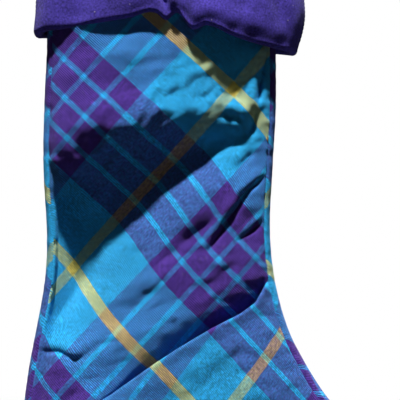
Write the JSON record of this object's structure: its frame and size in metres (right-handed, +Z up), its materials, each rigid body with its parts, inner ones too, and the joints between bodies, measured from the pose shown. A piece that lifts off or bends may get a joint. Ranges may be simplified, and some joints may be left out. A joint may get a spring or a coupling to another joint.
{
  "type": "fabric gift sack",
  "caption": "Lined stocking-shaped fabric gift sack in tartan cloth, with a wide turned-down plain cuff and a sewn hanging loop.",
  "frame": {"origin": "centre of the hanging loop's eye, where a hook, nail or peg goes through", "axes": "+Z up, from the toe to the mouth and the loop; +X from the heel side to the toe side; -Y is the front face"},
  "size_m": [0.3004, 0.078, 0.5468],
  "materials": {
    "tartan_cloth": "brushed twill in three yarn colours, cut on the bias",
    "lining_cloth": "plain weave, matt",
    "cuff_cloth": "brushed cotton with a short nap",
    "strap_cloth": "folded and top-stitched cotton",
    "dark_thread": "spun sewing thread",
    "lining_thread": "spun sewing thread",
    "cuff_thread": "spun sewing thread",
    "light_thread": "spun sewing thread"
  },
  "bodies": {
    "sack": {"front_panel": "tartan_cloth", "back_panel": "tartan_cloth", "front_lining": "lining_cloth", "back_lining": "lining_cloth", "cuff_front": "cuff_cloth", "cuff_back": "cuff_cloth", "side_seam_stitches": "dark_thread", "lining_seam_stitches": "lining_thread", "mouth_stitches": "cuff_thread", "cuff_seam_stitches": "cuff_thread", "loop_tails": "strap_cloth", "loop_bar_tack": "light_thread"},
    "loop": {"hanging_loop": "strap_cloth", "loop_edge_stitches": "light_thread"}
  },
  "joints": [
    {"name": "loop_bend", "type": "hinge", "parent": "sack", "child": "loop", "pos_m": [0, 0, -0.032], "axis": [0, 1, 0], "range_deg": [-55, 55], "stiffness_Nm_per_rad": 0.002}
  ]
}
